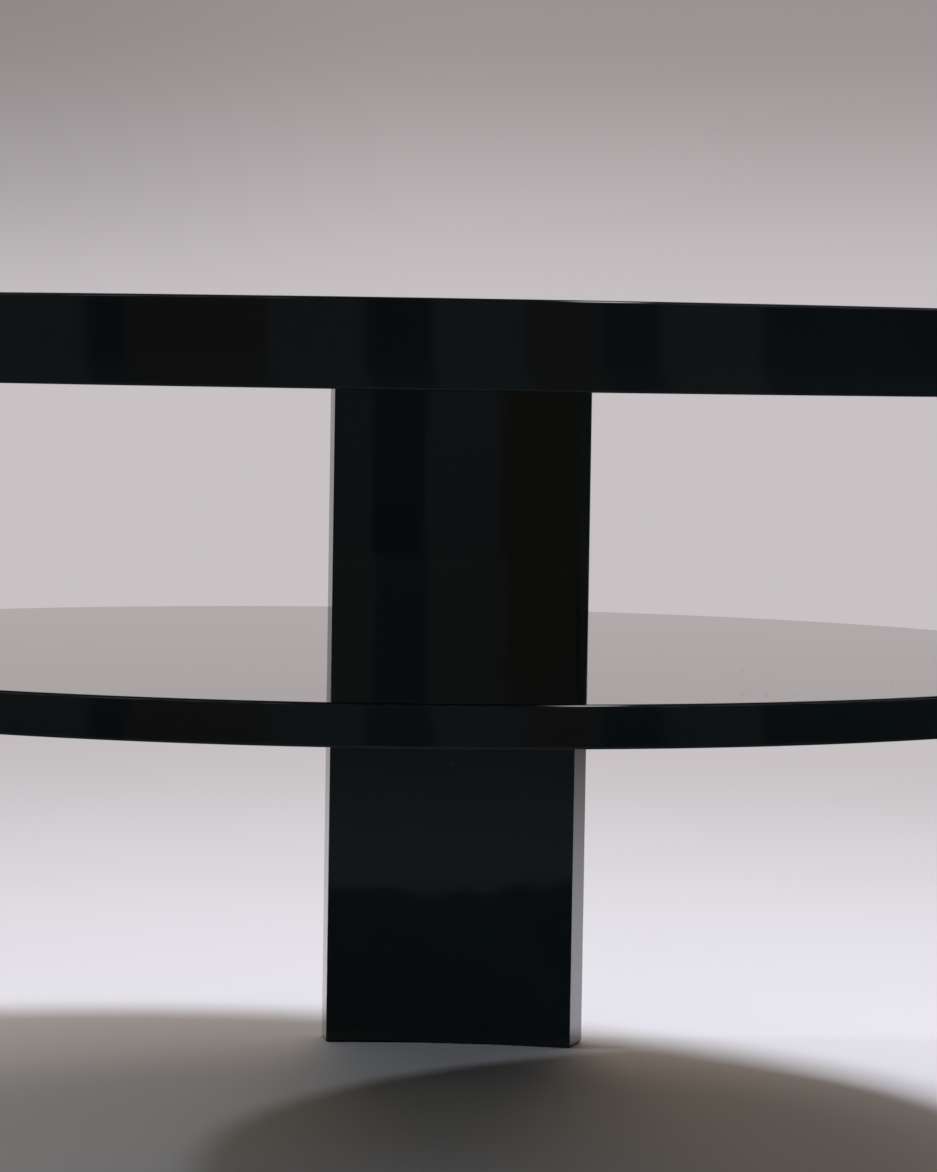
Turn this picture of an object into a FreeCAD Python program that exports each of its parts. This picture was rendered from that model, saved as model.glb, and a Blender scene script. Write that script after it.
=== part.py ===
import FreeCAD, Part
import math
import os

# Sizes in millimetres; Z points up and the floor is at zero.

# The two tiers
top_diameter = 762.0
table_height = 420.0
top_upper_thickness = 19.05
top_lower_thickness = 19.05
shelf_height = 251.3
shelf_thickness = 18.9
shelf_setback = 17.0

# The bent lippings that close the boards' edges
top_lipping_thickness = 6.0
shelf_lipping_thickness = 5.0
top_arris = 1.2
shelf_arris = 1.2

# The curved plank legs, whose outer faces run flush with the top's rim
leg_count = 3
first_leg_angle = 90.0
leg_width = 151.6
leg_thickness = 27.3
leg_arris = 0.8
foot_arris = 1.2

# Loose tenons between each leg's upper end and the top's lower board
tenons_per_leg = 3
tenon_pitch = 45.0
tenon_width = 24.0
tenon_thickness = 10.0
tenon_leg_depth = 25.0
tenon_board_depth_share = 0.75
tenon_end_chamfer = 1.0

# Blind dowels between each leg's inner face and the shelf's notch
dowels_per_leg = 3
shelf_dowel_pitch = 45.0
shelf_dowel_diameter = 8.0
shelf_dowel_board_depth = 24.0
shelf_dowel_leg_depth_share = 0.55
shelf_dowel_chamfer = 1.0

# Blind dowels that line up the top's two boards while they are glued
top_dowel_count = 6
top_dowel_circle_share = 0.5
top_dowel_diameter = 8.0
top_dowel_depth_share = 0.6
top_dowel_chamfer = 1.0

# Glides let into the feet, each held by one nail
glides_per_leg = 2
glide_pitch = 96.0
glide_diameter = 16.0
glide_thickness = 5.0
glide_proud = 0.3
glide_arris = 0.3
nail_diameter = 2.4
nail_length = 20.0
nail_head_diameter = 6.0
nail_head_thickness = 1.0
nail_head_depth = 1.8
nail_point = 3.0

# Clearances, and how far a cutting solid runs past the face it opens
glue_line = 0.1
blind_end_gap = 0.5
overrun = 5.0

# Derived sizes
up = FreeCAD.Vector(0, 0, 1)
outwards = FreeCAD.Vector(1, 0, 0)
rim_radius = top_diameter / 2
shelf_radius = rim_radius - shelf_setback
leg_inner_radius = rim_radius - leg_thickness
leg_middle_radius = rim_radius - leg_thickness / 2
leg_half_angle = math.degrees(math.asin(leg_width / 2 / rim_radius))
top_underside = table_height - top_upper_thickness - top_lower_thickness
top_joint_height = table_height - top_upper_thickness
shelf_underside = shelf_height - shelf_thickness
leg_angles = [first_leg_angle + 360 * k / leg_count for k in range(leg_count)]
tenon_board_depth = tenon_board_depth_share * top_lower_thickness
shelf_dowel_leg_depth = shelf_dowel_leg_depth_share * leg_thickness


def degrees_along(distance, radius):
    return math.degrees(distance / radius)


def polar(radius, angle, height):
    turn = math.radians(angle)
    return FreeCAD.Vector(radius * math.cos(turn), radius * math.sin(turn), height)


def disc(radius, bottom, top):
    return Part.makeCylinder(radius, top - bottom, FreeCAD.Vector(0, 0, bottom), up)


def ring(inner_radius, outer_radius, bottom, top, arris):
    """A round band whose two outer edges are eased."""
    outer = disc(outer_radius, bottom, top)
    rims = [edge for edge in outer.Edges if edge.isClosed()]
    return outer.makeFillet(arris, rims).cut(disc(inner_radius, bottom - overrun, top + overrun))


def curved_panel(inner_radius, outer_radius, half_angle, bottom, top):
    """A panel bent about the Z axis, centred on +X, with ends that point at the axis."""
    inner_arc = Part.Arc(
        polar(inner_radius, -half_angle, bottom),
        polar(inner_radius, 0, bottom),
        polar(inner_radius, half_angle, bottom),
    )
    outer_arc = Part.Arc(
        polar(outer_radius, half_angle, bottom),
        polar(outer_radius, 0, bottom),
        polar(outer_radius, -half_angle, bottom),
    )
    left_end = Part.LineSegment(inner_arc.EndPoint, outer_arc.StartPoint)
    right_end = Part.LineSegment(outer_arc.EndPoint, inner_arc.StartPoint)
    edges = [curve.toShape() for curve in (inner_arc, left_end, outer_arc, right_end)]
    return Part.Face(Part.Wire(edges)).extrude(up * (top - bottom))


def spread(count, pitch):
    """Places along a line, evenly spaced about its middle."""
    return [pitch * (k - (count - 1) / 2) for k in range(count)]


def turned(shape, angle):
    copy = shape.copy()
    copy.rotate(FreeCAD.Vector(0, 0, 0), up, angle)
    return copy


def pin(radius, start, direction, length, chamfer):
    """A round pin with chamfered ends."""
    body = Part.makeCylinder(radius, length, start, direction)
    ends = [edge for edge in body.Edges if edge.isClosed()]
    return body.makeChamfer(chamfer, ends)


def is_level(edge):
    return edge.BoundBox.ZLength < leg_arris / 2


def is_upright(edge):
    return edge.BoundBox.ZLength > leg_width / 2


def tenon_blank(growth, end_gap):
    """One loose tenon's body, or with growth the mortise it fills, on the leg's centre line."""
    bottom = top_underside - tenon_leg_depth - end_gap
    top = top_underside + tenon_board_depth + end_gap
    half_thickness = tenon_thickness / 2 + growth
    half_straight = tenon_width / 2 - tenon_thickness / 2
    size = (2 * half_thickness, 2 * half_straight, top - bottom)
    corner = FreeCAD.Vector(leg_middle_radius - half_thickness, -half_straight, bottom)
    body = Part.makeBox(*size, corner)
    for side in (-half_straight, half_straight):
        centre = FreeCAD.Vector(leg_middle_radius, side, bottom)
        body = body.fuse(Part.makeCylinder(half_thickness, top - bottom, centre, up))
    return body.removeSplitter()


def tenon():
    body = tenon_blank(0, 0)
    level = [edge for edge in body.Edges if is_level(edge)]
    return body.makeChamfer(tenon_end_chamfer, level)


def shelf_dowel(offset, growth, end_gap):
    """One dowel between the shelf and the leg on +X, or with growth the hole it fills."""
    face = math.sqrt(leg_inner_radius ** 2 - offset ** 2)
    start = FreeCAD.Vector(
        face - shelf_dowel_board_depth - end_gap, offset, shelf_underside + shelf_thickness / 2
    )
    length = shelf_dowel_board_depth + shelf_dowel_leg_depth + 2 * end_gap
    return pin(shelf_dowel_diameter / 2 + growth, start, outwards, length, shelf_dowel_chamfer)


def top_dowel(angle, growth, end_gap):
    """One dowel between the top's boards, or with growth the hole it fills."""
    below = top_dowel_depth_share * top_lower_thickness + end_gap
    above = top_dowel_depth_share * top_upper_thickness + end_gap
    start = polar(top_dowel_circle_share * rim_radius, angle, top_joint_height - below)
    return pin(top_dowel_diameter / 2 + growth, start, up, below + above, top_dowel_chamfer)


def glide(angle):
    """A round glide with an eased lower rim and a stepped hole for its nail."""
    foot = polar(leg_middle_radius, angle, 0)
    body = Part.makeCylinder(glide_diameter / 2, glide_thickness, foot, up)
    rim = [edge for edge in body.Edges if edge.isClosed() and edge.BoundBox.ZMax < glide_proud / 2]
    body = body.makeFillet(glide_arris, rim)
    below = foot - up * overrun
    head_room = Part.makeCylinder(
        nail_head_diameter / 2 + glue_line, overrun + nail_head_depth, below, up
    )
    shank_room = Part.makeCylinder(
        nail_diameter / 2 + glue_line, glide_thickness + 2 * overrun, below, up
    )
    return body.cut(head_room.fuse(shank_room))


def nail(angle):
    """A pointed nail whose head sits in its glide's recess."""
    seat = polar(leg_middle_radius, angle, nail_head_depth)
    head = Part.makeCylinder(
        nail_head_diameter / 2, nail_head_thickness, seat - up * nail_head_thickness, up
    )
    shank = Part.makeCylinder(nail_diameter / 2, nail_length - nail_point, seat, up)
    tip_base = seat + up * (nail_length - nail_point)
    tip = Part.makeCone(nail_diameter / 2, 0, nail_point, tip_base, up)
    return head.fuse([shank, tip]).removeSplitter()


def foot_recesses(angle):
    """The round recess in a foot for one glide, with the hole for its nail."""
    foot = polar(leg_middle_radius, angle, glide_proud - overrun)
    recess = Part.makeCylinder(
        glide_diameter / 2 + glue_line, overrun + glide_thickness - glide_proud, foot, up
    )
    seat = polar(leg_middle_radius, angle, nail_head_depth)
    hole = Part.makeCylinder(
        nail_diameter / 2 + glue_line, nail_length + blind_end_gap, seat, up
    )
    return recess.fuse(hole)


# Places of the small joints along one leg
tenon_turns = [degrees_along(place, leg_middle_radius) for place in spread(tenons_per_leg, tenon_pitch)]
dowel_offsets = spread(dowels_per_leg, shelf_dowel_pitch)
glide_turns = [degrees_along(place, leg_middle_radius) for place in spread(glides_per_leg, glide_pitch)]
top_dowel_angles = [360 * k / top_dowel_count for k in range(top_dowel_count)]

# Mortises and holes, cut from both pieces that a joint holds together
mortises = [turned(tenon_blank(glue_line, blind_end_gap), turn) for turn in tenon_turns]
dowel_holes = [shelf_dowel(offset, glue_line, blind_end_gap) for offset in dowel_offsets]
top_dowel_holes = [top_dowel(angle, glue_line, blind_end_gap) for angle in top_dowel_angles]

nodes = {}

# The top: two boards glued face to face inside one bent lipping
board_radius = rim_radius - top_lipping_thickness - glue_line
upper_board = disc(board_radius, top_joint_height, table_height)
nodes["top_upper_board"] = upper_board.cut(top_dowel_holes)
lower_board = disc(board_radius, top_underside, top_joint_height)
all_mortises = [turned(hole, angle) for angle in leg_angles for hole in mortises]
nodes["top_lower_board"] = lower_board.cut(top_dowel_holes + all_mortises)
nodes["top_lipping"] = ring(
    rim_radius - top_lipping_thickness, rim_radius, top_underside, table_height, top_arris
)
top_dowels = [top_dowel(angle, 0, 0) for angle in top_dowel_angles]
nodes["top_board_dowels"] = Part.makeCompound(top_dowels)

# The shelf: one board notched for the legs, its lipping in lengths between the notches
notch = curved_panel(
    leg_inner_radius - glue_line,
    rim_radius + overrun,
    leg_half_angle + degrees_along(glue_line, rim_radius),
    shelf_underside - overrun,
    shelf_height + overrun,
)
notches = [turned(notch, angle) for angle in leg_angles]
all_dowel_holes = [turned(hole, angle) for angle in leg_angles for hole in dowel_holes]
shelf_blank = disc(
    shelf_radius - shelf_lipping_thickness - glue_line, shelf_underside, shelf_height
)
nodes["shelf_board"] = shelf_blank.cut(notches + all_dowel_holes)
shelf_ring = ring(
    shelf_radius - shelf_lipping_thickness, shelf_radius, shelf_underside, shelf_height, shelf_arris
)
lengths = shelf_ring.cut(notches).Solids
for k, angle in enumerate(leg_angles):
    middle = polar(shelf_radius, angle + 180 / leg_count, shelf_height)
    nearest = min(lengths, key=lambda solid: (solid.CenterOfMass - middle).Length)
    nodes[f"shelf_lipping_{k + 1}"] = nearest

# The legs, modelled on +X and turned to their places
plank = curved_panel(leg_inner_radius, rim_radius, leg_half_angle, glide_proud, top_underside)
plank = plank.makeFillet(leg_arris, [edge for edge in plank.Edges if is_upright(edge)])
foot_edges = [
    edge for edge in plank.Edges if is_level(edge) and edge.BoundBox.ZMax < glide_proud + leg_arris
]
plank = plank.makeFillet(foot_arris, foot_edges)
recesses = [foot_recesses(turn) for turn in glide_turns]
leg = plank.cut(mortises + dowel_holes + recesses)
tenons = Part.makeCompound([turned(tenon(), turn) for turn in tenon_turns])
shelf_dowels = Part.makeCompound([shelf_dowel(offset, 0, 0) for offset in dowel_offsets])
glides = Part.makeCompound([glide(turn) for turn in glide_turns])
nails = Part.makeCompound([nail(turn) for turn in glide_turns])
for k, angle in enumerate(leg_angles):
    name = f"leg_{k + 1}"
    nodes[name] = turned(leg, angle)
    nodes[f"{name}_top_tenons"] = turned(tenons, angle)
    nodes[f"{name}_shelf_dowels"] = turned(shelf_dowels, angle)
    nodes[f"{name}_glides"] = turned(glides, angle)
    nodes[f"{name}_glide_nails"] = turned(nails, angle)

os.makedirs("parts", exist_ok=True)
for name, shape in nodes.items():
    shape.exportStep(f"parts/{name}.step")
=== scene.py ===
import math
import bpy
from mathutils import Matrix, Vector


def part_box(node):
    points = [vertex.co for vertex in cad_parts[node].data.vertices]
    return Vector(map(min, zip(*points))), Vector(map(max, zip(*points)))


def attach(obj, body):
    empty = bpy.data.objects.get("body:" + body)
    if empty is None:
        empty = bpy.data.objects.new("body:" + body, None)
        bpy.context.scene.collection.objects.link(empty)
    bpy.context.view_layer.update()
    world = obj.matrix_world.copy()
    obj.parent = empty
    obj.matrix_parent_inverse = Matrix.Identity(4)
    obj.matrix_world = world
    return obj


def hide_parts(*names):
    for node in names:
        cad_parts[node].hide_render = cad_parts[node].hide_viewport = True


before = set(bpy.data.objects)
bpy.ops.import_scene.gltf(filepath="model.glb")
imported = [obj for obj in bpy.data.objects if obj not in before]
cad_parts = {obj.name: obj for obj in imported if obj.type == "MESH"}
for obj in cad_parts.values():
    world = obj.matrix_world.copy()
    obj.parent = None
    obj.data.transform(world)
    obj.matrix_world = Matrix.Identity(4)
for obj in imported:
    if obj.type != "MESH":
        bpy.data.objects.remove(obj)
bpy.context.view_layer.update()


# Top lipping: a strip of solid wood bent round the edge of both top boards and glued,
# then lacquered black with them and rubbed to a mirror. Its two outer arrises are eased.
MM = 0.001
NEAR = 0.02 * MM
ROUND_STEPS = 384
ARRIS_STEPS = 6
ARRIS_PROFILE = 0.5
TOP_ARRIS = 1.2 * MM
GLUE_LINE = 0.1 * MM
SMOOTH_ANGLE = math.radians(40)
FACE_WEIGHT = 100


def slab(name, radius, low, high):
    """A round slab about the Z axis, active and selected alone."""
    bpy.ops.object.select_all(action="DESELECT")
    bpy.ops.mesh.primitive_cylinder_add(
        vertices=ROUND_STEPS, radius=radius, depth=high - low, location=(0, 0, (low + high) / 2)
    )
    piece = bpy.context.object
    piece.name = name
    piece.data.name = name
    bpy.ops.object.transform_apply(location=True, rotation=True, scale=True)
    return piece


def edit(piece, element, test):
    """Opens a piece for editing with only the edges or faces selected whose corners pass a test."""
    bpy.ops.object.select_all(action="DESELECT")
    piece.select_set(True)
    bpy.context.view_layer.objects.active = piece
    bpy.context.tool_settings.mesh_select_mode = (False, element == "EDGE", element == "FACE")
    bpy.ops.object.mode_set(mode="EDIT")
    bpy.ops.mesh.select_all(action="DESELECT")
    bpy.ops.object.mode_set(mode="OBJECT")
    mesh = piece.data
    for item in mesh.edges if element == "EDGE" else mesh.polygons:
        item.select = test([mesh.vertices[index].co for index in item.vertices])
    bpy.ops.object.mode_set(mode="EDIT")


def all_at(height):
    """A test that corners pass when they all lie at one height."""
    return lambda corners: all(abs(co.z - height) < NEAR for co in corners)


def ease(width):
    """Rounds the selected edges and leaves edit mode."""
    bpy.ops.mesh.bevel(offset=width, segments=ARRIS_STEPS, profile=ARRIS_PROFILE, affect="EDGES")
    bpy.ops.object.mode_set(mode="OBJECT")


def apply_modifier(piece, kind, **settings):
    modifier = piece.modifiers.new(kind.title(), kind)
    for key, value in settings.items():
        setattr(modifier, key, value)
    bpy.context.view_layer.objects.active = piece
    bpy.ops.object.modifier_apply(modifier=modifier.name)


def polish(piece):
    """Smooth shading that keeps flat faces flat beside their eased arrises."""
    bpy.ops.object.select_all(action="DESELECT")
    piece.select_set(True)
    bpy.context.view_layer.objects.active = piece
    bpy.ops.object.shade_smooth_by_angle(angle=SMOOTH_ANGLE)
    apply_modifier(piece, "WEIGHTED_NORMAL", weight=FACE_WEIGHT, keep_sharp=True)


def band(name, radius, width, low, high, arris):
    """A closed band with eased outer arrises: a slab whose middle is inset, cut out and walled."""
    piece = slab(name, radius, low, high)
    edit(piece, "FACE", lambda corners: all_at(low)(corners) or all_at(high)(corners))
    bpy.ops.mesh.inset(thickness=width, use_individual=True)
    bpy.ops.mesh.delete(type="ONLY_FACE")
    bpy.ops.mesh.select_mode(type="EDGE")
    bpy.ops.mesh.select_all(action="DESELECT")
    bpy.ops.mesh.select_non_manifold()
    bpy.ops.mesh.bridge_edge_loops()
    bpy.ops.object.mode_set(mode="OBJECT")

    def on_outer_rim(corners):
        level = all_at(low)(corners) or all_at(high)(corners)
        return level and all(co.xy.length > radius - NEAR for co in corners)

    edit(piece, "EDGE", on_outer_rim)
    ease(arris)
    return piece


class Wire:
    """A shader socket; Python's operators on it add Math nodes."""

    def __init__(self, tree, socket=None):
        self.tree = tree
        self.socket = socket

    def node(self, kind, settings, sockets, output=0):
        """Adds a node, sets it up, fills or links its inputs and returns one of its outputs."""
        made = self.tree.nodes.new(kind)
        for key, value in settings.items():
            setattr(made, key, value)
        for key, value in sockets.items():
            if isinstance(value, Wire):
                self.tree.links.new(value.socket, made.inputs[key])
            else:
                made.inputs[key].default_value = value
        return Wire(self.tree, made.outputs[output])

    def math(self, operation, a, b=0.0):
        return self.node("ShaderNodeMath", {"operation": operation}, {0: a, 1: b})

    def __add__(self, other):
        return self.math("ADD", self, other)

    def __radd__(self, other):
        return self.math("ADD", other, self)

    def __sub__(self, other):
        return self.math("SUBTRACT", self, other)

    def __rsub__(self, other):
        return self.math("SUBTRACT", other, self)

    def __mul__(self, other):
        return self.math("MULTIPLY", self, other)

    def __rmul__(self, other):
        return self.math("MULTIPLY", other, self)

    def __abs__(self):
        return self.math("ABSOLUTE", self)

    def step(self, low, high):
        """0 below low, 1 above high and smooth between."""
        return self.node(
            "ShaderNodeMapRange",
            {"interpolation_type": "SMOOTHSTEP"},
            {"Value": self, "From Min": low, "From Max": high},
        )

    def blend(self, first, second):
        """The first colour where this is 0, the second where it is 1, by a Mix node's colour sockets."""
        return self.node("ShaderNodeMix", {"data_type": "RGBA"}, {0: self, 6: first, 7: second}, output=2)

    def noise(self, size, detail):
        """Cloudy values of about a half, in blotches of that size, over this vector."""
        return self.node("ShaderNodeTexNoise", {}, {"Vector": self, "Scale": 1 / size, "Detail": detail})

    def stretched(self, scale, turn=(0, 0, 0)):
        return self.node("ShaderNodeMapping", {}, {"Vector": self, "Rotation": turn, "Scale": scale})

    def axes(self):
        split = self.node("ShaderNodeSeparateXYZ", {}, {0: self}).socket.node
        return [Wire(self.tree, socket) for socket in split.outputs]


def new_material(name):
    """A material, its Principled shader's node and its object coordinates."""
    material = bpy.data.materials.new(name)
    material.use_nodes = True
    tree = material.node_tree
    shader = tree.nodes["Principled BSDF"]
    place = Wire(tree).node("ShaderNodeTexCoord", {}, {}, output="Object")
    return material, shader, place


def feed(shader, **sockets):
    """Sets or links a shader's sockets; underscores stand for the spaces in their names."""
    for key, value in sockets.items():
        socket = shader.inputs[key.replace("_", " ")]
        if isinstance(value, Wire):
            value.tree.links.new(value.socket, socket)
        else:
            socket.default_value = value


LACQUER_BLACK = (0.0095, 0.0140, 0.0152, 1)
LACQUER_BLOOM = (0.0125, 0.0172, 0.0184, 1)
LACQUER_IOR = 1.5
LACQUER_COAT = 0.25
BLOOM_SIZE = 160 * MM
BLOOM_RANGE = (0.35, 0.7)
SMEAR_STRETCH = (1.0, 1.6, 0.7)
SMEAR_TURN = (0.2, 0.1, 0.5)
SMEAR_SIZE = 55 * MM
SMEAR_RANGE = (0.5, 0.78)
HAIRLINES = (
    {"stretch": (1.0, 0.035, 1.0), "turn": (0, 0, 0.35), "size": 1.1 * MM, "edges": (0.68, 0.74)},
    {"stretch": (0.03, 1.0, 1.0), "turn": (0, 0, -0.6), "size": 1.3 * MM, "edges": (0.69, 0.75)},
)
HAIRLINE_PATCH = 90 * MM
HAIRLINE_PATCH_RANGE = (0.45, 0.6)
DUST_GREY = (0.10, 0.095, 0.09, 1)
DUST_SPACING = 6 * MM
DUST_SMALLEST = 0.03
DUST_GROWTH = 0.05
DUST_EDGE = 0.02
DUST_DULLNESS = 0.7
RIPPLE_FINE = 7 * MM
RIPPLE_BROAD = 45 * MM
RIPPLE_BROAD_SHARE = 4.0
RIPPLE_DEPTH = 0.0012 * MM


def shade(colour, share):
    """A share of a colour's brightness."""
    return (*(share * part for part in colour[:3]), 1)


def scratches(place, stretch, turn, size, edges):
    """1 on fine straight scratches that run one way, and 0 between them."""
    return place.stretched(stretch, turn).noise(size, detail=1.0).step(*edges)


def lacquer(name, gloss, haze, dust, hairlines, depth=1.0, wear=None):
    """Black lacquer rubbed to a mirror: faint bloom, hand smears, hairlines and settled dust.

    gloss is its cleanest roughness, haze what smears add, dust the share of spots that carry a
    speck and hairlines how dull the fine scratches are. depth below 1 is a deeper black. It is
    painted light: set higher on the legs, in the shade under the top, and lower on the rims, which
    the fill reaches. wear makes more dullness from a place.
    """
    material, shader, place = new_material(name)
    bloom = place.noise(BLOOM_SIZE, detail=3.0).step(*BLOOM_RANGE)
    smear = place.stretched(SMEAR_STRETCH, SMEAR_TURN).noise(SMEAR_SIZE, detail=4.0).step(*SMEAR_RANGE)
    one_way, other_way = [scratches(place, **lines) for lines in HAIRLINES]
    patch = place.noise(HAIRLINE_PATCH, detail=1.0).step(*HAIRLINE_PATCH_RANGE)
    hairline = (one_way + other_way) * patch
    off_speck = place.node("ShaderNodeTexVoronoi", {}, {"Vector": place, "Scale": 1 / DUST_SPACING})
    speck_colour = Wire(off_speck.tree, off_speck.socket.node.outputs["Color"])
    pick, size, _ = speck_colour.axes()
    radius = DUST_SMALLEST + DUST_GROWTH * size
    speck = (radius - off_speck).step(0.0, DUST_EDGE) * pick.math("LESS_THAN", pick, dust)
    rough = gloss + haze * smear + hairlines * hairline
    if wear:
        rough = rough + wear(place)
    ripple = place.noise(RIPPLE_FINE, detail=1.0)
    ripple = ripple + RIPPLE_BROAD_SHARE * place.noise(RIPPLE_BROAD, detail=1.0)
    colour = bloom.blend(shade(LACQUER_BLACK, depth), shade(LACQUER_BLOOM, depth))
    feed(
        shader,
        Base_Color=speck.blend(colour, DUST_GREY),
        Roughness=rough + DUST_DULLNESS * speck,
        IOR=LACQUER_IOR,
        Coat_Weight=LACQUER_COAT,
        Coat_Roughness=gloss,
        Normal=place.node("ShaderNodeBump", {}, {"Distance": RIPPLE_DEPTH, "Height": ripple}),
    )
    return material


def dress(piece, material, node):
    """Gives a finished piece its material and puts it in the place of its CAD node."""
    piece.data.materials.clear()
    piece.data.materials.append(material)
    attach(piece, "root")
    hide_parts(node)


top_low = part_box("top_lipping")[0][2]
top_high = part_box("top_lipping")[1][2]
rim_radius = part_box("top_lipping")[1][0]
board_low, board_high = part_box("top_upper_board")
top_board_radius = round((board_high[0] + GLUE_LINE) / MM) * MM
top_lipping = band(
    "top_lipping_lacquered", rim_radius, rim_radius - top_board_radius, top_low, top_high, TOP_ARRIS
)
polish(top_lipping)
# The rims' black is set deeper: painted shade against the fill that falls on them.
rim_lacquer = lacquer(
    "black lacquer, rims", gloss=0.045, haze=0.03, dust=0.0, hairlines=0.06, depth=0.42
)
dress(top_lipping, rim_lacquer, "top_lipping")


# Top boards: two round boards glued face to face inside the lipping. The upper one carries the
# table's polished face, and the lower one the underside, which is sprayed but not rubbed down.
GLUE_EDGE = 0.3 * MM

top_joint = board_low[2]
upper_board = slab("top_upper_board_lacquered", top_board_radius, top_joint, top_high)
edit(upper_board, "EDGE", all_at(top_joint))
ease(GLUE_EDGE)
polish(upper_board)
face_lacquer = lacquer(
    "black lacquer, top face", gloss=0.035, haze=0.03, dust=0.10, hairlines=0.10, depth=0.45
)
dress(upper_board, face_lacquer, "top_upper_board")

lower_board = slab("top_lower_board_lacquered", top_board_radius, top_low, top_joint)
edit(lower_board, "EDGE", all_at(top_joint))
ease(GLUE_EDGE)
polish(lower_board)
under_lacquer = lacquer("black lacquer, undersides", gloss=0.14, haze=0.08, dust=0.0, hairlines=0.0)
dress(lower_board, under_lacquer, "top_lower_board")


# Legs: planks of bent and glued plies, lacquered all round, whose ends point at the table's axis.
# They stand under the rim, glued to the lower board on loose tenons and to the shelf on dowels.
LEG_COUNT = 3
FIRST_LEG_TURN = math.radians(90)
LEG_STEPS = 96
LEG_THICKNESS = 27.3 * MM
LEG_WIDTH = 151.6 * MM
LEG_ARRIS = 0.8 * MM
FOOT_ARRIS = 1.2 * MM
SCUFF_HEIGHT = 45 * MM
SCUFF_STRETCH = (1.0, 1.0, 2.5)
SCUFF_SIZE = 9 * MM
SCUFF_RANGE = (0.52, 0.72)
SCUFF_DULLNESS = 0.10

leg_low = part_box("leg_1")[0][2]
leg_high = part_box("leg_1")[1][2]
leg_inner_radius = rim_radius - LEG_THICKNESS
leg_half_turn = math.asin(LEG_WIDTH / 2 / rim_radius)


def curved_plank(name, inner, outer, half_turn, low, high):
    """A plank bent about the Z axis and centred on +X: its end face, spun round the axis."""
    bpy.ops.object.select_all(action="DESELECT")
    bpy.ops.mesh.primitive_plane_add(
        size=1, location=((inner + outer) / 2, 0, (low + high) / 2), rotation=(math.pi / 2, 0, 0)
    )
    piece = bpy.context.object
    piece.name = name
    piece.data.name = name
    piece.scale = (outer - inner, high - low, 1)
    bpy.ops.object.transform_apply(location=True, rotation=True, scale=True)
    edit(piece, "FACE", lambda corners: True)
    bpy.ops.mesh.spin(steps=LEG_STEPS, angle=2 * half_turn, center=(0, 0, 0), axis=(0, 0, 1))
    bpy.ops.mesh.select_all(action="SELECT")
    bpy.ops.mesh.remove_doubles(threshold=NEAR)
    bpy.ops.mesh.select_all(action="DESELECT")
    bpy.ops.mesh.select_mode(type="EDGE")
    bpy.ops.mesh.select_non_manifold()
    bpy.ops.mesh.edge_face_add()
    bpy.ops.mesh.select_all(action="SELECT")
    bpy.ops.mesh.normals_make_consistent(inside=False)
    bpy.ops.object.mode_set(mode="OBJECT")
    corners = [vertex.co for vertex in piece.data.vertices]
    spun_to = sum(math.atan2(co.y, co.x) for co in corners) / len(corners)
    piece.rotation_euler = (0, 0, -spun_to)
    bpy.ops.object.transform_apply(location=True, rotation=True, scale=True)
    return piece


def turned_copy(piece, name, turn):
    """A copy with a mesh of its own, turned about the table's axis."""
    copy = piece.copy()
    copy.data = piece.data.copy()
    copy.name = name
    copy.data.name = name
    bpy.context.collection.objects.link(copy)
    bpy.ops.object.select_all(action="DESELECT")
    copy.select_set(True)
    bpy.context.view_layer.objects.active = copy
    copy.rotation_euler = (0, 0, turn)
    bpy.ops.object.transform_apply(location=True, rotation=True, scale=True)
    return copy


def is_upright(corners):
    """Passes the four upright edges at the ends of the plank."""
    turns = [abs(math.atan2(co.y, co.x)) for co in corners]
    same_place = (corners[0].xy - corners[1].xy).length < NEAR
    return same_place and min(turns) > leg_half_turn - NEAR


def scuffs(place):
    """Dullness that rises towards the foot, where shoes and mops touch the leg."""
    height = place.axes()[2]
    marks = place.stretched(SCUFF_STRETCH).noise(SCUFF_SIZE, detail=5.0).step(*SCUFF_RANGE)
    return SCUFF_DULLNESS * marks * (1 - height.step(leg_low, leg_low + SCUFF_HEIGHT))


leg = curved_plank("leg", leg_inner_radius, rim_radius, leg_half_turn, leg_low, leg_high)
edit(leg, "EDGE", is_upright)
ease(LEG_ARRIS)
edit(leg, "EDGE", all_at(leg_low))
ease(FOOT_ARRIS)
polish(leg)
# The legs' black is set lighter: painted light against the shade under the top.
leg_lacquer = lacquer(
    "black lacquer, legs", gloss=0.04, haze=0.035, dust=0.02, hairlines=0.05, depth=0.9, wear=scuffs
)
leg_turns = [FIRST_LEG_TURN + 2 * math.pi * k / LEG_COUNT for k in range(LEG_COUNT)]
for k, turn in enumerate(leg_turns):
    copy = turned_copy(leg, f"leg_{k + 1}_lacquered", turn)
    dress(copy, leg_lacquer, f"leg_{k + 1}")
bpy.data.objects.remove(leg)


# Shelf: one board, thinner than the top, notched round each leg, with its lipping bent on
# in lengths between the notches. Board and lipping are lacquered and rubbed as one face.
SHELF_ARRIS = 1.2 * MM
SHELF_LIPPING = 5.0 * MM
NOTCH_OVERRUN = 8.0 * MM

shelf_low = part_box("shelf_board")[0][2]
shelf_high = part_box("shelf_board")[1][2]
shelf_radius = max(vertex.co.xy.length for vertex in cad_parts["shelf_lipping_1"].data.vertices)


def cut_notches(piece):
    """Cuts the legs' places out of a round piece of the shelf."""
    notch = curved_plank(
        "notch",
        leg_inner_radius,
        rim_radius + NOTCH_OVERRUN,
        leg_half_turn,
        shelf_low - NOTCH_OVERRUN,
        shelf_high + NOTCH_OVERRUN,
    )
    for turn in leg_turns:
        cutter = turned_copy(notch, "notch_cutter", turn)
        apply_modifier(piece, "BOOLEAN", operation="DIFFERENCE", object=cutter, solver="EXACT")
        bpy.data.objects.remove(cutter)
    bpy.data.objects.remove(notch)


def turn_between(first, second):
    """The angle between two turns about the table's axis, the short way round."""
    return abs(math.remainder(first - second, 2 * math.pi))


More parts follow.
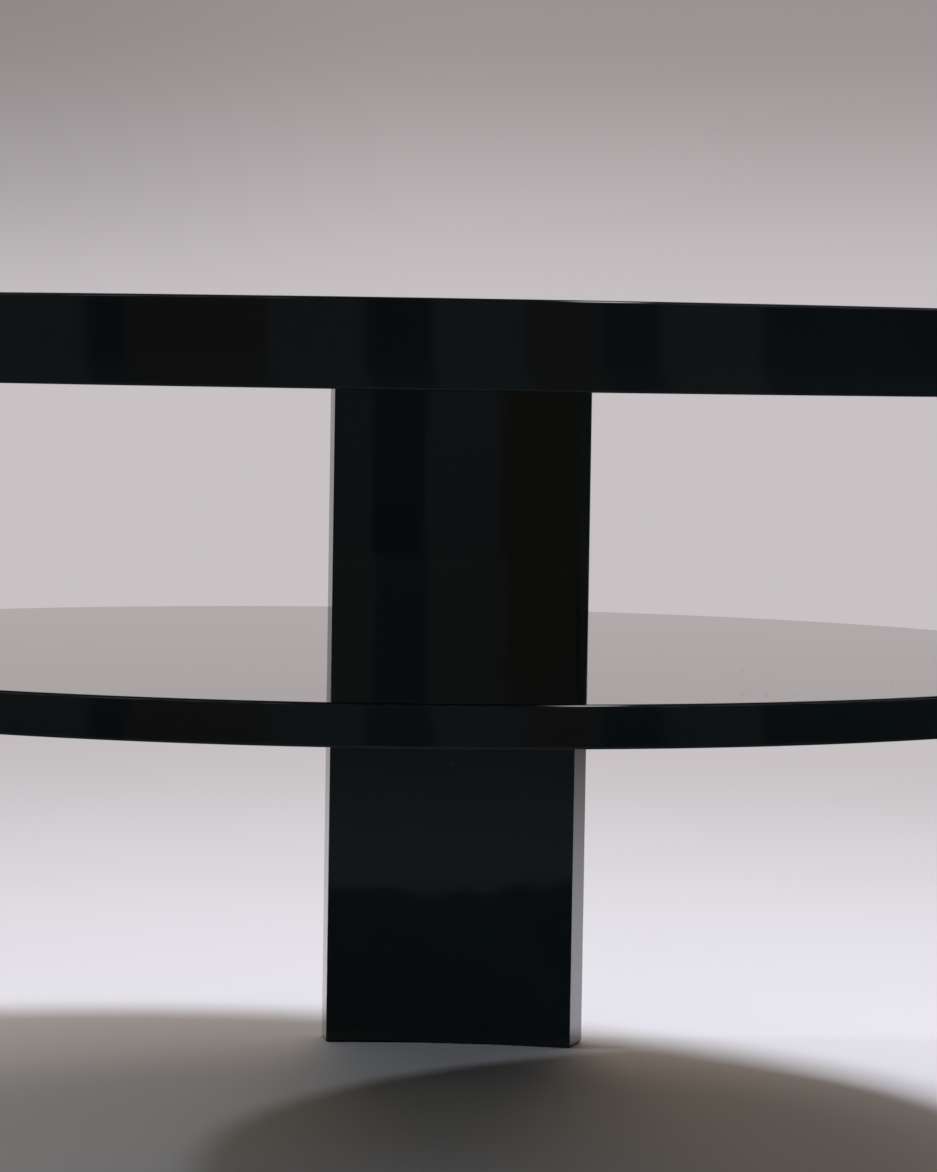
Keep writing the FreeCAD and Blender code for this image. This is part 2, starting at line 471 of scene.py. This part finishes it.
shelf_board = slab("shelf_board_lacquered", shelf_radius - SHELF_LIPPING, shelf_low, shelf_high)
cut_notches(shelf_board)
polish(shelf_board)
shelf_lacquer = lacquer(
    "black lacquer, shelf face", gloss=0.035, haze=0.03, dust=0.10, hairlines=0.10, depth=0.45
)
dress(shelf_board, shelf_lacquer, "shelf_board")

shelf_band = band("shelf_lipping", shelf_radius, SHELF_LIPPING, shelf_low, shelf_high, SHELF_ARRIS)
cut_notches(shelf_band)
edit(shelf_band, "FACE", lambda corners: True)
bpy.ops.mesh.separate(type="LOOSE")
bpy.ops.object.mode_set(mode="OBJECT")
gap_turns = [turn + math.pi / LEG_COUNT for turn in leg_turns]
for strip in list(bpy.context.selected_objects):
    corners = [vertex.co for vertex in strip.data.vertices]
    turn = math.atan2(sum(co.y for co in corners), sum(co.x for co in corners))
    nearest = min(range(LEG_COUNT), key=lambda k: turn_between(gap_turns[k], turn))
    strip.name = f"shelf_lipping_{nearest + 1}_lacquered"
    strip.data.name = strip.name
    polish(strip)
    dress(strip, rim_lacquer, f"shelf_lipping_{nearest + 1}")


# Joinery: loose tenons and chamfered dowels of raw beech, glued into blind mortises and holes
# between the boards and the legs. None of it shows once the table is together.
BEECH_PALE = (0.66, 0.46, 0.29, 1)
BEECH_DARK = (0.46, 0.29, 0.17, 1)
GRAIN_STRETCH = (1.0, 1.0, 0.06)
GRAIN_SIZE = 1.2 * MM
GRAIN_RANGE = (0.3, 0.7)
GRAIN_SHARE = 0.7
GRAIN_STRENGTH = 0.3
GRAIN_DEPTH = 0.05 * MM
FLECK_STRETCH = (1.0, 1.0, 0.25)
FLECK_SIZE = 0.5 * MM
FLECK_RANGE = (0.62, 0.7)
BEECH_ROUGH = 0.55
BEECH_ROUGH_GRAIN = 0.2


def finish_nodes(endings, material):
    """Gives a better material to the CAD nodes whose names end in one of these ways."""
    for node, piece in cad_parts.items():
        if node.endswith(endings):
            piece.data.materials.clear()
            piece.data.materials.append(material)


beech, beech_shader, beech_place = new_material("raw beech")
grain = beech_place.stretched(GRAIN_STRETCH).noise(GRAIN_SIZE, detail=4.0)
flecks = beech_place.stretched(FLECK_STRETCH).noise(FLECK_SIZE, detail=1.0).step(*FLECK_RANGE)
dark_wood = grain.step(*GRAIN_RANGE) * GRAIN_SHARE + flecks * (1 - GRAIN_SHARE)
feed(
    beech_shader,
    Base_Color=dark_wood.blend(BEECH_PALE, BEECH_DARK),
    Roughness=BEECH_ROUGH + BEECH_ROUGH_GRAIN * grain,
    Normal=grain.node(
        "ShaderNodeBump", {}, {"Strength": GRAIN_STRENGTH, "Distance": GRAIN_DEPTH, "Height": grain}
    ),
)
finish_nodes(("tenons", "dowels"), beech)


# Glides: black nylon buttons let into each foot and held by one steel nail with a sunk head.
# Their rims are eased, and the faces they slide on are worn grey and smooth.
NYLON_BLACK = (0.030, 0.030, 0.032, 1)
NYLON_WORN = (0.10, 0.098, 0.095, 1)
NYLON_ROUGH = 0.42
NYLON_ROUGH_MOTTLE = 0.15
NYLON_MOTTLE_SIZE = 1 * MM
WORN_HEIGHT = 0.5 * MM
WORN_SIZE = 2 * MM
WORN_RANGE = (0.3, 0.6)
WORN_POLISH = 0.1
STEEL_BRIGHT = (0.56, 0.56, 0.57, 1)
STEEL_STAINED = (0.30, 0.25, 0.20, 1)
STEEL_ROUGH = 0.3
STAIN_SIZE = 1.5 * MM
STAIN_RANGE = (0.5, 0.75)
STAIN_COVER = 0.6
STAIN_DULLNESS = 0.3

nylon, nylon_shader, nylon_place = new_material("glide nylon")
rubbed = 1 - nylon_place.axes()[2].step(0.0, WORN_HEIGHT)
worn = rubbed * nylon_place.noise(WORN_SIZE, detail=4.0).step(*WORN_RANGE)
nylon_mottle = nylon_place.noise(NYLON_MOTTLE_SIZE, detail=3.0)
feed(
    nylon_shader,
    Base_Color=worn.blend(NYLON_BLACK, NYLON_WORN),
    Roughness=NYLON_ROUGH + NYLON_ROUGH_MOTTLE * nylon_mottle - WORN_POLISH * worn,
)
finish_nodes("glides", nylon)

steel, steel_shader, steel_place = new_material("nail steel")
stain = steel_place.noise(STAIN_SIZE, detail=5.0).step(*STAIN_RANGE)
feed(
    steel_shader,
    Base_Color=stain.blend(STEEL_BRIGHT, STEEL_STAINED),
    Metallic=1 - STAIN_COVER * stain,
    Roughness=STEEL_ROUGH + STAIN_DULLNESS * stain,
)
finish_nodes("nails", steel)


# Floor: pale paper that runs out into a pale glow, so that no edge of it shows. The glow is painted
# light, brighter next to the lit pool, with a painted shade on the left. In the lacquer the floor
# shows a painted reflection instead of its shading: pale behind the table, painted shade under it
# and dim elsewhere, with dark and brown screens painted far in front, which keeps the finish black.
CAMERA_HEADING = math.radians(4.393)
FLOOR_RADIUS = 90.0
FLOOR_STEPS = 96
FLOOR_PALE = (0.80, 0.79, 0.835, 1)
FLOOR_MOTTLE_SIZE = 300 * MM
FLOOR_MOTTLE_SHADE = 0.97
FLOOR_ROUGH = 0.85
FLOOR_SPECULAR = 0.1
LIT_RANGE = (0.7, 2.0)
POOL_GLOW = (0.715, 0.695, 0.735, 1)
SURROUND_PALE = (0.578, 0.540, 0.552, 1)
GLOW_RANGE = (0.9, 2.4)
LEFT_FLOOR_SHADE = 0.06
LEFT_FLOOR_SIDE = (-0.6, 0.1)
LEFT_FLOOR_RANGE = (2.5, 5.0)
WINDOW_RANGE = (0.95, 0.99)
SIDE_RANGE = (0.35, 3.75)
DARK_SIDE = (0.006, 0.007, 0.007, 1)
FRONT_RANGE = (-0.36, -0.26)
UNDER_SHADE = (0.036, 0.058, 0.062, 1)
UNDER_RANGE = (0.36, 0.42)
UNDER_WAVER = 0.28
UNDER_WAVER_SIZE = 60 * MM
UNDER_WAVER_SIDE = (0.22, 0.34)
DIM_FLOOR = (0.126, 0.152, 0.160, 1)
DIM_FLOOR_MIDDLE = (0.055, 0.071, 0.075, 1)
DIM_FLOOR_FAR = (0.082, 0.100, 0.104, 1)
DIM_FLOOR_RANGE = (0.45, 2.0)
SCREEN_RANGE = (1.4, 2.8)
FAR_RANGE = (3.4, 4.4)
DARK_SCREEN = (0.017, 0.029, 0.033, 1)
DARK_SCREEN_FAR = (0.037, 0.057, 0.065, 1)
BROWN_SCREEN = (0.058, 0.047, 0.033, 1)
BROWN_SCREEN_FAR = (0.068, 0.070, 0.054, 1)
SCREENS = (
    (-0.69, -0.605, "dark"),
    (-0.605, -0.305, "brown"),
    (-0.075, 0.085, "dark"),
    (0.30, 0.46, "brown"),
    (0.47, 0.60, "dark"),
    (0.785, 1.2, "dark"),
)
SCREEN_SOFT = 0.012
FLOOR_SCREEN_SHIFT = 0.015

away = (-math.sin(CAMERA_HEADING), math.cos(CAMERA_HEADING), 0)
rightwards = (math.cos(CAMERA_HEADING), math.sin(CAMERA_HEADING), 0)


def reach(vector, direction):
    """How far a place or a way goes in a fixed direction."""
    return vector.node(
        "ShaderNodeVectorMath", {"operation": "DOT_PRODUCT"}, {0: vector, 1: direction}, output="Value"
    )


def level_way(vector):
    """The level part of a place or a way, at a length of 1."""
    level = vector.node("ShaderNodeVectorMath", {"operation": "MULTIPLY"}, {0: vector, 1: (1, 1, 0)})
    return level.node("ShaderNodeVectorMath", {"operation": "NORMALIZE"}, {0: level})


def between(wire, low, high):
    """1 from one soft edge to another and 0 outside; an edge is where it starts and where it ends."""
    return wire.step(*low) * (1 - wire.step(*high))


def screened(sideways, pale, dark, brown):
    """A dim studio's colour with dark and brown screens that stand about in it; on the floor they are
    painted reflections.
    """
    colour = pale
    for left, right, tone in SCREENS:
        left_edge = (left - SCREEN_SOFT, left + SCREEN_SOFT)
        right_edge = (right - SCREEN_SOFT, right + SCREEN_SOFT)
        on_screen = between(sideways, left_edge, right_edge)
        colour = on_screen.blend(colour, brown if tone == "brown" else dark)
    return colour


def light_path(wire, kind_of_ray):
    return wire.node("ShaderNodeLightPath", {}, {}, output=kind_of_ray)


bpy.ops.object.select_all(action="DESELECT")
bpy.ops.mesh.primitive_circle_add(vertices=FLOOR_STEPS, radius=FLOOR_RADIUS, fill_type="NGON")
floor = bpy.context.object
floor.name = "floor"
floor_paper, floor_shader, floor_place = new_material("pale paper floor with painted glow and reflection")
floor_tree = floor_paper.node_tree
floor_mottle = floor_place.noise(FLOOR_MOTTLE_SIZE, detail=3.0)
feed(
    floor_shader,
    Base_Color=floor_mottle.blend(FLOOR_PALE, shade(FLOOR_PALE, FLOOR_MOTTLE_SHADE)),
    Roughness=FLOOR_ROUGH,
    Specular_IOR_Level=FLOOR_SPECULAR,
)
distance = floor_place.node(
    "ShaderNodeVectorMath", {"operation": "LENGTH"}, {0: floor_place}, output="Value"
)
floor_way = level_way(floor_place)
floor_away = reach(floor_place, away)
floor_side = reach(floor_place, rightwards)

# Painted reflection of the floor, seen only in the lacquer: dim, with painted screens far off, a painted
# shade under the table with a wavering edge, and dark at the sides.
far = distance.step(*FAR_RANGE)
screened_floor = screened(
    reach(floor_way, rightwards) - FLOOR_SCREEN_SHIFT,
    far.blend(DIM_FLOOR_MIDDLE, DIM_FLOOR_FAR),
    far.blend(DARK_SCREEN, DARK_SCREEN_FAR),
    far.blend(BROWN_SCREEN, BROWN_SCREEN_FAR),
)
middle_floor = distance.step(*SCREEN_RANGE).blend(DIM_FLOOR_MIDDLE, screened_floor)
front_floor = distance.step(*DIM_FLOOR_RANGE).blend(DIM_FLOOR, middle_floor)
waver = UNDER_WAVER * (floor_place.noise(UNDER_WAVER_SIZE, detail=4.0) - 0.5)
waver = waver * (1 - abs(floor_side).step(*UNDER_WAVER_SIDE))
front_colour = (waver - floor_away).step(*UNDER_RANGE).blend(UNDER_SHADE, front_floor)
in_front = (0 - floor_away).step(*FRONT_RANGE)
dim_colour = in_front.blend(DARK_SIDE, front_colour)
at_side = distance.step(*SIDE_RANGE) * (1 - reach(floor_way, away).step(*WINDOW_RANGE))
dim_mirror = in_front.math("MAXIMUM", in_front, at_side) * light_path(floor_place, "Is Glossy Ray")

# Painted light on the glow: brighter near the lit pool, fading to the backdrop's pale, with a painted
# shade on the left.
glow_colour = distance.step(*GLOW_RANGE).blend(POOL_GLOW, SURROUND_PALE)
on_left = (1 - floor_side.step(*LEFT_FLOOR_SIDE)) * (1 - distance.step(*LEFT_FLOOR_RANGE))
glow_colour = (LEFT_FLOOR_SHADE * on_left).blend(glow_colour, DARK_SIDE)
glow = floor_place.node("ShaderNodeEmission", {}, {"Color": glow_colour})
dim = floor_place.node("ShaderNodeEmission", {}, {"Color": dim_colour})
lit = Wire(floor_tree, floor_shader.outputs[0])
pool = floor_place.node("ShaderNodeMixShader", {}, {0: distance.step(*LIT_RANGE), 1: lit, 2: glow})
surface = floor_place.node("ShaderNodeMixShader", {}, {0: dim_mirror, 1: pool, 2: dim})
floor_tree.links.new(surface.socket, floor_tree.nodes["Material Output"].inputs["Surface"])
floor.data.materials.append(floor_paper)


# Surround: the studio round the floor. Straight on it is a pale backdrop. The lacquer mirrors it
# as a dim studio with screens below, pale upright panels above and one narrow bright strip, and
# matt things get only its soft fill.
SURROUND_HIGH = (0.325, 0.295, 0.299, 1)
BACKDROP_RISE = (0.004, 0.078)
LEFT_SHADE = 0.16
LEFT_SIDE = (-0.12, 0.0)
LEFT_RISE = (0.0, 0.04)
MIRRORED_PALE = (0.565, 0.520, 0.526, 1)
WINDOW_TOP = (0.14, 0.40)
DIM_STUDIO = (0.074, 0.088, 0.092, 1)
DIM_WALL = (0.118, 0.138, 0.142, 1)
DARK_SCREEN_HIGH = (0.067, 0.098, 0.112, 1)
BROWN_SCREEN_HIGH = (0.100, 0.105, 0.088, 1)
WALL_RISE = (0.016, 0.04)
BEHIND_RANGE = (-0.5, 0.2)
FRONT_WAY = (0.1, 0.3)
FRONT_LEFT = (-0.30, -0.20)
FRONT_RIGHT = (0.32, 0.42)
PANEL_PALE = (0.62, 0.62, 0.63, 1)
PANEL_FRONT = (0.09, 0.092, 0.094, 1)
PANEL_GAP = (0.03, 0.032, 0.034, 1)
PANEL_WIDTH = 0.06
PANEL_RANGE = (0.44, 0.56)
PANEL_RISE = (0.10, 0.22)
CEILING = (0.075, 0.076, 0.078, 1)
CEILING_RISE = (0.45, 0.95)
STRIP_PALE = (7.0, 7.0, 7.1, 1)
STRIP_ACROSS = (0.9466, 0.3223, 0)
STRIP_PLACE = 0.253
STRIP_RANGE = (0.01, 0.095)
STRIP_FOOT = (0.55, 0.65)
STRIP_HEAD = (0.94, 0.98)
STRIP_WAY = (-0.1, 0.1)
FILL_NONE = (0.0, 0.0, 0.0, 1)
FILL_OVER = (0.90, 0.78, 0.65, 1)
FILL_OVER_RISE = (0.80, 0.97)
FILL_FRONT = (0.29, 0.40, 0.556, 1)
FILL_FRONT_WAY = (0.15, 0.7)
FILL_FRONT_FOOT = (0.35, 0.60)
FILL_FRONT_HEAD = (0.65, 0.90)
FILL_BACK = (1.00, 0.97, 0.837, 1)
FILL_BACK_WAY = (0.30, 0.90)
FILL_BACK_FOOT = (0.0, 0.15)
FILL_BACK_HEAD = (0.30, 0.60)

world = bpy.data.worlds.new("studio surround")
bpy.context.scene.world = world
world.use_nodes = True
sky = world.node_tree
way = Wire(sky).node("ShaderNodeTexCoord", {}, {}, output="Generated")
rise = way.axes()[2]
ahead = reach(way, away)
frontwards = 0 - ahead
sideways = reach(way, rightwards)

backdrop = rise.step(*BACKDROP_RISE).blend(SURROUND_PALE, SURROUND_HIGH)
left_shade = LEFT_SHADE * (1 - sideways.step(*LEFT_SIDE)) * rise.step(*LEFT_RISE)
backdrop = left_shade.blend(backdrop, DARK_SIDE)

up_wall = rise.step(*WALL_RISE)
screened_studio = screened(
    sideways,
    up_wall.blend(DIM_STUDIO, DIM_WALL),
    up_wall.blend(DARK_SCREEN, DARK_SCREEN_HIGH),
    up_wall.blend(BROWN_SCREEN, BROWN_SCREEN_HIGH),
)
low_studio = ahead.step(*BEHIND_RANGE).blend(screened_studio, DARK_SIDE)
straight_in_front = frontwards.step(*FRONT_WAY) * between(sideways, FRONT_LEFT, FRONT_RIGHT)
on_panel = level_way(way).noise(PANEL_WIDTH, detail=1.0).step(*PANEL_RANGE)
panels = on_panel.blend(PANEL_GAP, straight_in_front.blend(PANEL_PALE, PANEL_FRONT))
walls = rise.step(*PANEL_RISE).blend(low_studio, panels)
ceiling = straight_in_front.blend(CEILING, PANEL_GAP)
studio = rise.step(*CEILING_RISE).blend(walls, ceiling)
off_strip = abs(reach(way, STRIP_ACROSS) - STRIP_PLACE)
at_strip = between(rise, STRIP_FOOT, STRIP_HEAD) * frontwards.step(*STRIP_WAY)
studio = (at_strip * (1 - off_strip.step(*STRIP_RANGE))).blend(studio, STRIP_PALE)
behind_table = ahead.step(*WINDOW_RANGE) * (1 - rise.step(*WINDOW_TOP))
mirrored = behind_table.blend(studio, MIRRORED_PALE)

front_fill = frontwards.step(*FILL_FRONT_WAY) * between(rise, FILL_FRONT_FOOT, FILL_FRONT_HEAD)
back_fill = ahead.step(*FILL_BACK_WAY) * between(rise, FILL_BACK_FOOT, FILL_BACK_HEAD)
fill = rise.step(*FILL_OVER_RISE).blend(FILL_NONE, FILL_OVER)
fill = front_fill.blend(fill, FILL_FRONT)
fill = back_fill.blend(fill, FILL_BACK)

seen = light_path(way, "Is Camera Ray")
in_gloss = light_path(way, "Is Glossy Ray")
sky_colour = seen.blend(in_gloss.blend(fill, mirrored), backdrop)
sky.links.new(sky_colour.socket, sky.nodes["Background"].inputs["Color"])


# Lamps: a soft box high over the table, a small weaker one on the left and a wide warm one behind.
# Their shadows cross under the shelf. The lacquer doesn't mirror them: it shows the surround.
LAMPS = {
    "key box": {"from": (0.80, -0.11, 2.90), "across": 0.556, "watts": 71.9, "tint": (0.865, 0.903, 1.0)},
    "side box": {"from": (-2.28, 0.06, 1.88), "across": 0.14, "watts": 11.3, "tint": (0.90, 0.96, 1.0)},
    "back box": {"from": (-0.28, 4.94, 1.85), "across": 2.46, "watts": 54.9, "tint": (1.0, 0.725, 0.467)},
}

for name, lamp in LAMPS.items():
    bpy.ops.object.light_add(type="AREA", location=lamp["from"])
    box = bpy.context.object
    box.name = name
    box.data.shape = "DISK"
    box.data.size = lamp["across"]
    box.data.energy = lamp["watts"]
    box.data.color = lamp["tint"]
    box.visible_glossy = False
    box.visible_camera = False
    box.rotation_euler = box.location.to_track_quat("Z", "Y").to_euler()


# Camera: a long lens level with the rim of the table's top, tilted a little down and rolled a
# little, so that it looks in under the top at the far leg and down on the shelf.
CAMERA_PLACE = (206.1 * MM, -2232.1 * MM, 395.4 * MM)
CAMERA_TILT = math.radians(-2.885)
CAMERA_ROLL = math.radians(0.898)
CAMERA_LENS = 138.85
CAMERA_SENSOR = 36.0
CAMERA_SIGHT = 4 * FLOOR_RADIUS

bpy.ops.object.camera_add()
camera = bpy.context.object
camera.data.lens = CAMERA_LENS
camera.data.sensor_width = CAMERA_SENSOR
camera.data.clip_end = CAMERA_SIGHT
heading = Matrix.Rotation(CAMERA_HEADING, 4, "Z")
tilt = Matrix.Rotation(math.pi / 2 + CAMERA_TILT, 4, "X")
roll = Matrix.Rotation(CAMERA_ROLL, 4, "Z")
camera.matrix_world = Matrix.Translation(CAMERA_PLACE) @ heading @ tilt @ roll
bpy.context.scene.camera = camera
bpy.context.scene.view_settings.view_transform = "Standard"
